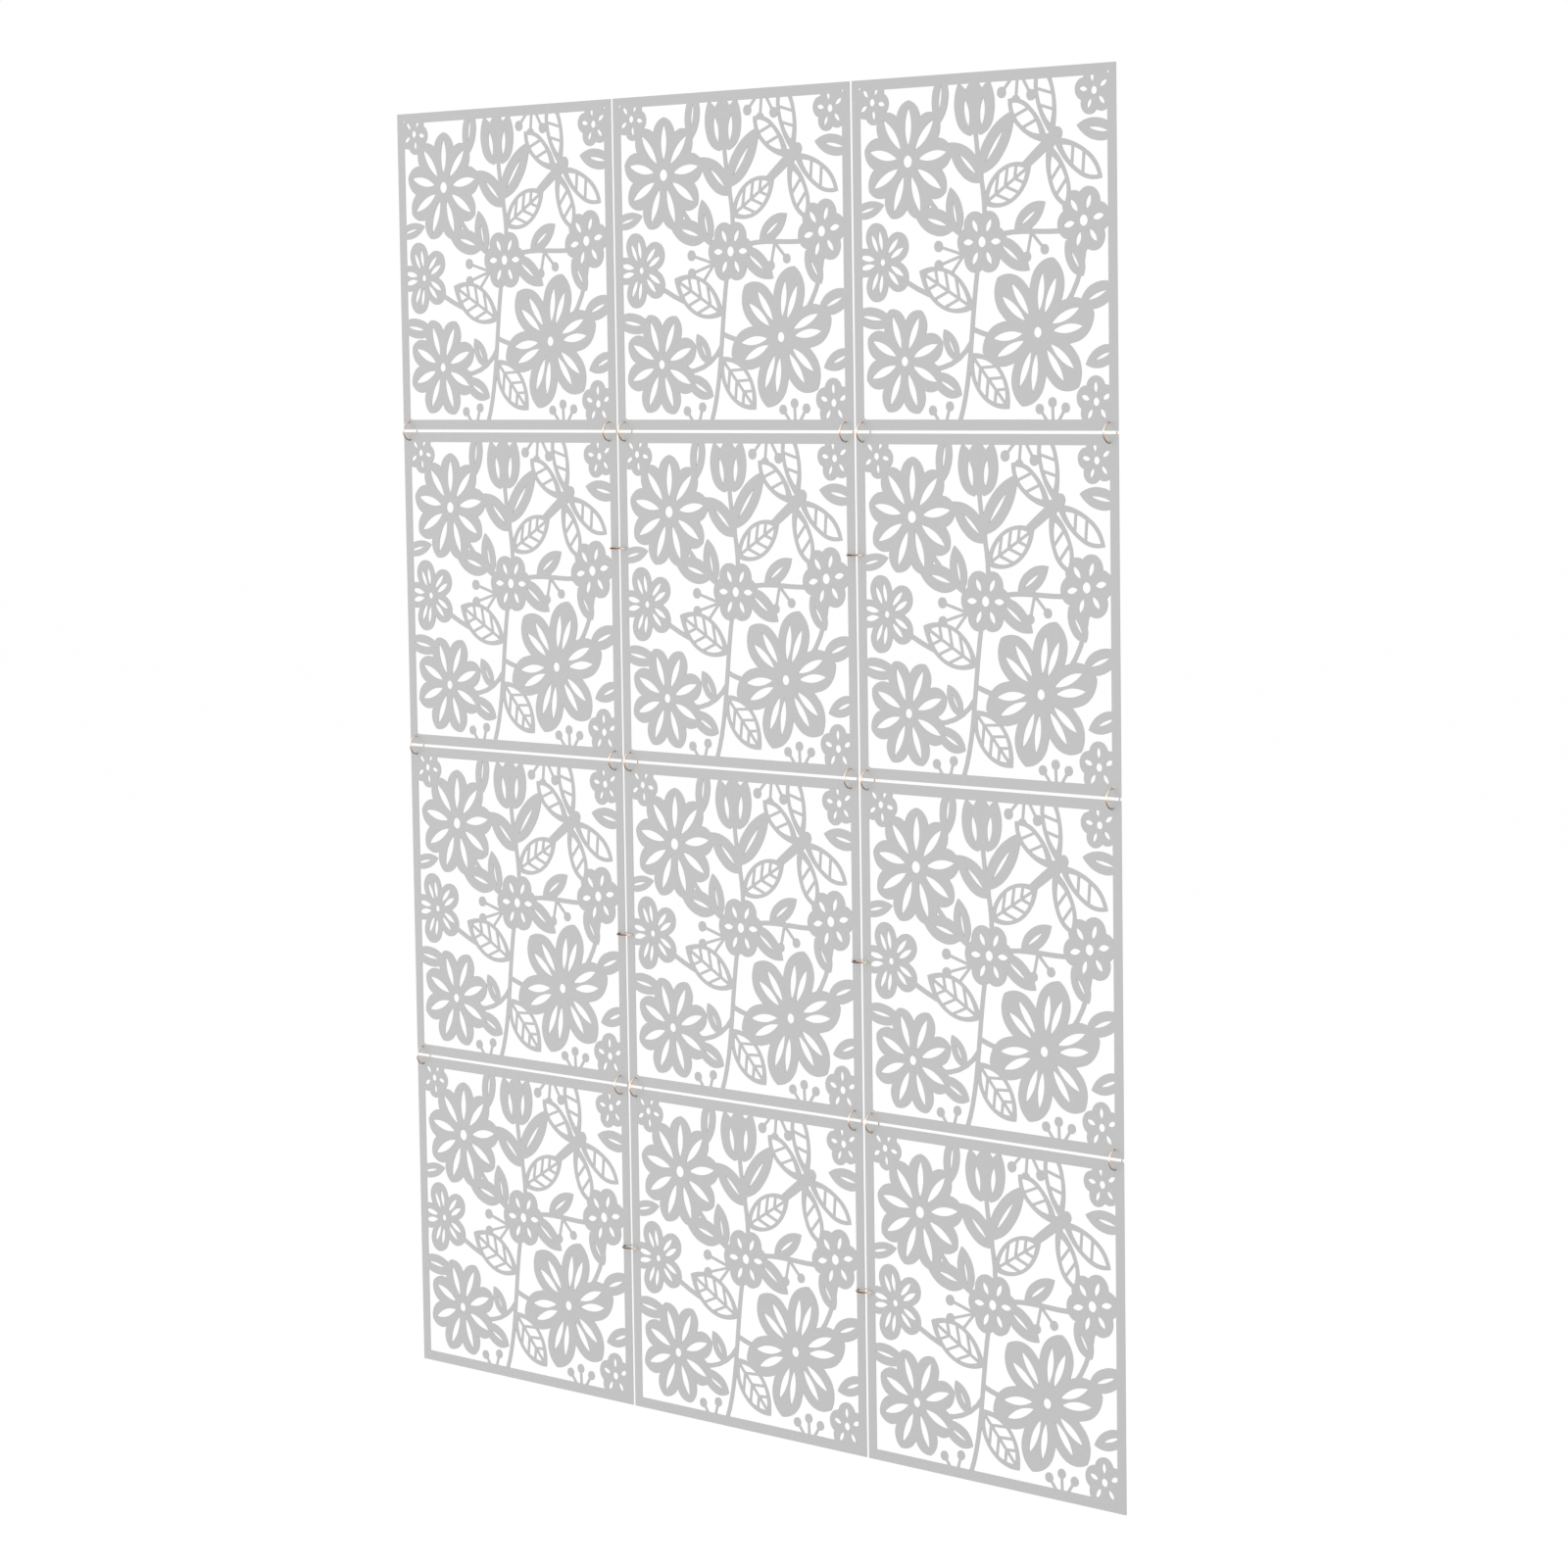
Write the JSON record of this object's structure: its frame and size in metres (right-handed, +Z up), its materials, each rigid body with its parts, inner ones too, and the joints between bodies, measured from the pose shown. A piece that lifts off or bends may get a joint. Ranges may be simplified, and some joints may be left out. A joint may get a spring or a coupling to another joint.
{
  "type": "hanging room divider panel",
  "caption": "Hanging room divider: square panels of thin sheet cut in a floral fretwork, tied into a curtain with small wire rings.",
  "frame": {"origin": "middle of the line through the top row's hanging holes, in the middle of the sheet's thickness", "axes": "+X along the curtain to the viewer's right, +Y back through the sheets, +Z up"},
  "size_m": [0.876, 0.018, 1.1678],
  "materials": {
    "sheet": "matt light grey",
    "ring_wire": "polished rose gold"
  },
  "bodies": {
    "top_row": {"panel_r1_left": "sheet", "panel_r1_centre": "sheet", "panel_r1_right": "sheet"},
    "row_2_centre": {"panel_r2_centre": "sheet"},
    "row_2_left": {"panel_r2_left": "sheet"},
    "row_2_right": {"panel_r2_right": "sheet"},
    "row_3_centre": {"panel_r3_centre": "sheet"},
    "row_3_left": {"panel_r3_left": "sheet"},
    "row_3_right": {"panel_r3_right": "sheet"},
    "row_4_centre": {"panel_r4_centre": "sheet"},
    "row_4_left": {"panel_r4_left": "sheet"},
    "row_4_right": {"panel_r4_right": "sheet"},
    "hang_ring_r2_left_l": {"hang_ring_r2_left_l": "ring_wire"},
    "hang_ring_r2_left_r": {"hang_ring_r2_left_r": "ring_wire"},
    "hang_ring_r2_centre_l": {"hang_ring_r2_centre_l": "ring_wire"},
    "hang_ring_r2_centre_r": {"hang_ring_r2_centre_r": "ring_wire"},
    "hang_ring_r2_right_l": {"hang_ring_r2_right_l": "ring_wire"},
    "hang_ring_r2_right_r": {"hang_ring_r2_right_r": "ring_wire"},
    "side_ring_r2_left_centre": {"side_ring_r2_left_centre": "ring_wire"},
    "side_ring_r2_centre_right": {"side_ring_r2_centre_right": "ring_wire"},
    "hang_ring_r3_left_l": {"hang_ring_r3_left_l": "ring_wire"},
    "hang_ring_r3_left_r": {"hang_ring_r3_left_r": "ring_wire"},
    "hang_ring_r3_centre_l": {"hang_ring_r3_centre_l": "ring_wire"},
    "hang_ring_r3_centre_r": {"hang_ring_r3_centre_r": "ring_wire"},
    "hang_ring_r3_right_l": {"hang_ring_r3_right_l": "ring_wire"},
    "hang_ring_r3_right_r": {"hang_ring_r3_right_r": "ring_wire"},
    "side_ring_r3_left_centre": {"side_ring_r3_left_centre": "ring_wire"},
    "side_ring_r3_centre_right": {"side_ring_r3_centre_right": "ring_wire"},
    "hang_ring_r4_left_l": {"hang_ring_r4_left_l": "ring_wire"},
    "hang_ring_r4_left_r": {"hang_ring_r4_left_r": "ring_wire"},
    "hang_ring_r4_centre_l": {"hang_ring_r4_centre_l": "ring_wire"},
    "hang_ring_r4_centre_r": {"hang_ring_r4_centre_r": "ring_wire"},
    "hang_ring_r4_right_l": {"hang_ring_r4_right_l": "ring_wire"},
    "hang_ring_r4_right_r": {"hang_ring_r4_right_r": "ring_wire"},
    "side_ring_r4_left_centre": {"side_ring_r4_left_centre": "ring_wire"},
    "side_ring_r4_centre_right": {"side_ring_r4_centre_right": "ring_wire"}
  },
  "joints": [
    {"name": "swing_row_2_centre", "type": "hinge", "parent": "top_row", "child": "row_2_centre", "pos_m": [0, 0, -0.2841], "axis": [1, 0, 0], "range_deg": [-85, 85]},
    {"name": "swing_row_2_left", "type": "hinge", "parent": "top_row", "child": "row_2_left", "pos_m": [-0.293, 0, -0.2841], "axis": [1, 0, 0], "range_deg": [-85, 85]},
    {"name": "swing_row_2_right", "type": "hinge", "parent": "top_row", "child": "row_2_right", "pos_m": [0.293, 0, -0.2841], "axis": [1, 0, 0], "range_deg": [-85, 85]},
    {"name": "swing_row_3_centre", "type": "hinge", "parent": "row_2_centre", "child": "row_3_centre", "pos_m": [0, 0, -0.5767], "axis": [1, 0, 0], "range_deg": [-85, 85]},
    {"name": "swing_row_3_left", "type": "hinge", "parent": "row_2_left", "child": "row_3_left", "pos_m": [-0.293, 0, -0.5767], "axis": [1, 0, 0], "range_deg": [-85, 85]},
    {"name": "swing_row_3_right", "type": "hinge", "parent": "row_2_right", "child": "row_3_right", "pos_m": [0.293, 0, -0.5767], "axis": [1, 0, 0], "range_deg": [-85, 85]},
    {"name": "swing_row_4_centre", "type": "hinge", "parent": "row_3_centre", "child": "row_4_centre", "pos_m": [0, 0, -0.8693], "axis": [1, 0, 0], "range_deg": [-85, 85]},
    {"name": "swing_row_4_left", "type": "hinge", "parent": "row_3_left", "child": "row_4_left", "pos_m": [-0.293, 0, -0.8693], "axis": [1, 0, 0], "range_deg": [-85, 85]},
    {"name": "swing_row_4_right", "type": "hinge", "parent": "row_3_right", "child": "row_4_right", "pos_m": [0.293, 0, -0.8693], "axis": [1, 0, 0], "range_deg": [-85, 85]},
    {"name": "turn_hang_ring_r2_left_l", "type": "hinge", "parent": "top_row", "child": "hang_ring_r2_left_l", "pos_m": [-0.4295, 0, -0.2841], "axis": [1, 0, 0], "continuous": true},
    {"name": "turn_hang_ring_r2_left_r", "type": "hinge", "parent": "top_row", "child": "hang_ring_r2_left_r", "pos_m": [-0.1565, 0, -0.2841], "axis": [1, 0, 0], "continuous": true},
    {"name": "turn_hang_ring_r2_centre_l", "type": "hinge", "parent": "top_row", "child": "hang_ring_r2_centre_l", "pos_m": [-0.1365, 0, -0.2841], "axis": [1, 0, 0], "continuous": true},
    {"name": "turn_hang_ring_r2_centre_r", "type": "hinge", "parent": "top_row", "child": "hang_ring_r2_centre_r", "pos_m": [0.1365, 0, -0.2841], "axis": [1, 0, 0], "continuous": true},
    {"name": "turn_hang_ring_r2_right_l", "type": "hinge", "parent": "top_row", "child": "hang_ring_r2_right_l", "pos_m": [0.1565, 0, -0.2841], "axis": [1, 0, 0], "continuous": true},
    {"name": "turn_hang_ring_r2_right_r", "type": "hinge", "parent": "top_row", "child": "hang_ring_r2_right_r", "pos_m": [0.4295, 0, -0.2841], "axis": [1, 0, 0], "continuous": true},
    {"name": "turn_side_ring_r2_left_centre", "type": "hinge", "parent": "row_2_left", "child": "side_ring_r2_left_centre", "pos_m": [-0.1465, 0, -0.3874], "axis": [0, 0, 1], "continuous": true},
    {"name": "turn_side_ring_r2_centre_right", "type": "hinge", "parent": "row_2_centre", "child": "side_ring_r2_centre_right", "pos_m": [0.1465, 0, -0.3874], "axis": [0, 0, 1], "continuous": true},
    {"name": "turn_hang_ring_r3_left_l", "type": "hinge", "parent": "row_2_left", "child": "hang_ring_r3_left_l", "pos_m": [-0.4295, 0, -0.5767], "axis": [1, 0, 0], "continuous": true},
    {"name": "turn_hang_ring_r3_left_r", "type": "hinge", "parent": "row_2_left", "child": "hang_ring_r3_left_r", "pos_m": [-0.1565, 0, -0.5767], "axis": [1, 0, 0], "continuous": true},
    {"name": "turn_hang_ring_r3_centre_l", "type": "hinge", "parent": "row_2_centre", "child": "hang_ring_r3_centre_l", "pos_m": [-0.1365, 0, -0.5767], "axis": [1, 0, 0], "continuous": true},
    {"name": "turn_hang_ring_r3_centre_r", "type": "hinge", "parent": "row_2_centre", "child": "hang_ring_r3_centre_r", "pos_m": [0.1365, 0, -0.5767], "axis": [1, 0, 0], "continuous": true},
    {"name": "turn_hang_ring_r3_right_l", "type": "hinge", "parent": "row_2_right", "child": "hang_ring_r3_right_l", "pos_m": [0.1565, 0, -0.5767], "axis": [1, 0, 0], "continuous": true},
    {"name": "turn_hang_ring_r3_right_r", "type": "hinge", "parent": "row_2_right", "child": "hang_ring_r3_right_r", "pos_m": [0.4295, 0, -0.5767], "axis": [1, 0, 0], "continuous": true},
    {"name": "turn_side_ring_r3_left_centre", "type": "hinge", "parent": "row_3_left", "child": "side_ring_r3_left_centre", "pos_m": [-0.1465, 0, -0.732], "axis": [0, 0, 1], "continuous": true},
    {"name": "turn_side_ring_r3_centre_right", "type": "hinge", "parent": "row_3_centre", "child": "side_ring_r3_centre_right", "pos_m": [0.1465, 0, -0.732], "axis": [0, 0, 1], "continuous": true},
    {"name": "turn_hang_ring_r4_left_l", "type": "hinge", "parent": "row_3_left", "child": "hang_ring_r4_left_l", "pos_m": [-0.4295, 0, -0.8693], "axis": [1, 0, 0], "continuous": true},
    {"name": "turn_hang_ring_r4_left_r", "type": "hinge", "parent": "row_3_left", "child": "hang_ring_r4_left_r", "pos_m": [-0.1565, 0, -0.8693], "axis": [1, 0, 0], "continuous": true},
    {"name": "turn_hang_ring_r4_centre_l", "type": "hinge", "parent": "row_3_centre", "child": "hang_ring_r4_centre_l", "pos_m": [-0.1365, 0, -0.8693], "axis": [1, 0, 0], "continuous": true},
    {"name": "turn_hang_ring_r4_centre_r", "type": "hinge", "parent": "row_3_centre", "child": "hang_ring_r4_centre_r", "pos_m": [0.1365, 0, -0.8693], "axis": [1, 0, 0], "continuous": true},
    {"name": "turn_hang_ring_r4_right_l", "type": "hinge", "parent": "row_3_right", "child": "hang_ring_r4_right_l", "pos_m": [0.1565, 0, -0.8693], "axis": [1, 0, 0], "continuous": true},
    {"name": "turn_hang_ring_r4_right_r", "type": "hinge", "parent": "row_3_right", "child": "hang_ring_r4_right_r", "pos_m": [0.4295, 0, -0.8693], "axis": [1, 0, 0], "continuous": true},
    {"name": "turn_side_ring_r4_left_centre", "type": "hinge", "parent": "row_4_left", "child": "side_ring_r4_left_centre", "pos_m": [-0.1465, 0, -1.0156], "axis": [0, 0, 1], "continuous": true},
    {"name": "turn_side_ring_r4_centre_right", "type": "hinge", "parent": "row_4_centre", "child": "side_ring_r4_centre_right", "pos_m": [0.1465, 0, -1.0156], "axis": [0, 0, 1], "continuous": true}
  ],
  "couplings": [
    {"joint": "swing_row_2_left", "follows": "swing_row_2_centre", "ratio": 1},
    {"joint": "swing_row_2_right", "follows": "swing_row_2_centre", "ratio": 1},
    {"joint": "swing_row_3_left", "follows": "swing_row_3_centre", "ratio": 1},
    {"joint": "swing_row_3_right", "follows": "swing_row_3_centre", "ratio": 1},
    {"joint": "swing_row_4_left", "follows": "swing_row_4_centre", "ratio": 1},
    {"joint": "swing_row_4_right", "follows": "swing_row_4_centre", "ratio": 1}
  ]
}
